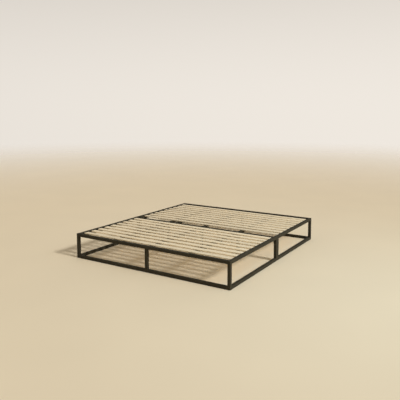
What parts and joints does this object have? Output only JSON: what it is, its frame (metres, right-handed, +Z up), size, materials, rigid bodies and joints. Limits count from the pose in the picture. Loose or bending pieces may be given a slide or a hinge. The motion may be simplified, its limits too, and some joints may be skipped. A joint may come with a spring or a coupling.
{
  "type": "metal platform bed frame",
  "caption": "Low platform bed: a box frame of dark square steel tube in two bolted halves, with flat wooden slats set into its top.",
  "frame": {"origin": "on the floor, under the middle of the bed", "axes": "+Z up, +Y along the bed from the foot towards the head, +X to the right as seen from the foot"},
  "size_m": [1.82, 2.02, 0.257],
  "materials": {
    "frame_steel": "fine-textured dark brown-black powder coat",
    "slat_wood": "planed pale softwood, unfinished",
    "foot_plastic": "matt moulded plastic",
    "fastener_steel": "black-oxide steel, slight sheen"
  },
  "bodies": {
    "root": {"foot_top_rail": "frame_steel", "foot_bottom_rail": "frame_steel", "foot_left_corner_post": "frame_steel", "foot_right_corner_post": "frame_steel", "foot_middle_post": "frame_steel", "foot_left_beam": "frame_steel", "foot_middle_beam": "frame_steel", "foot_right_beam": "frame_steel", "left_foot_top_rail": "frame_steel", "left_foot_bottom_rail": "frame_steel", "left_foot_middle_post": "frame_steel", "left_foot_slat_ledge": "frame_steel", "right_foot_top_rail": "frame_steel", "right_foot_bottom_rail": "frame_steel", "right_foot_middle_post": "frame_steel", "right_foot_slat_ledge": "frame_steel", "head_top_rail": "frame_steel", "head_bottom_rail": "frame_steel", "head_left_corner_post": "frame_steel", "head_right_corner_post": "frame_steel", "head_middle_post": "frame_steel", "head_left_beam": "frame_steel", "head_middle_beam": "frame_steel", "head_right_beam": "frame_steel", "left_head_top_rail": "frame_steel", "left_head_bottom_rail": "frame_steel", "left_head_middle_post": "frame_steel", "left_head_slat_ledge": "frame_steel", "right_head_top_rail": "frame_steel", "right_head_bottom_rail": "frame_steel", "right_head_middle_post": "frame_steel", "right_head_slat_ledge": "frame_steel", "cross_rail": "frame_steel", "centre_leg_left": "frame_steel", "centre_leg_middle": "frame_steel", "centre_leg_right": "frame_steel", "beam_hangers": "frame_steel", "corner_brackets": "frame_steel", "centre_leg_feet": "foot_plastic", "joining_bolts": "fastener_steel", "joining_nuts": "fastener_steel", "slat_01": "slat_wood", "slat_02": "slat_wood", "slat_03": "slat_wood", "slat_04": "slat_wood", "slat_05": "slat_wood", "slat_06": "slat_wood", "slat_07": "slat_wood", "slat_08": "slat_wood", "slat_09": "slat_wood", "slat_10": "slat_wood", "slat_11": "slat_wood", "slat_12": "slat_wood", "slat_13": "slat_wood", "slat_14": "slat_wood", "slat_15": "slat_wood", "slat_16": "slat_wood", "slat_17": "slat_wood", "slat_18": "slat_wood"}
  },
  "joints": []
}
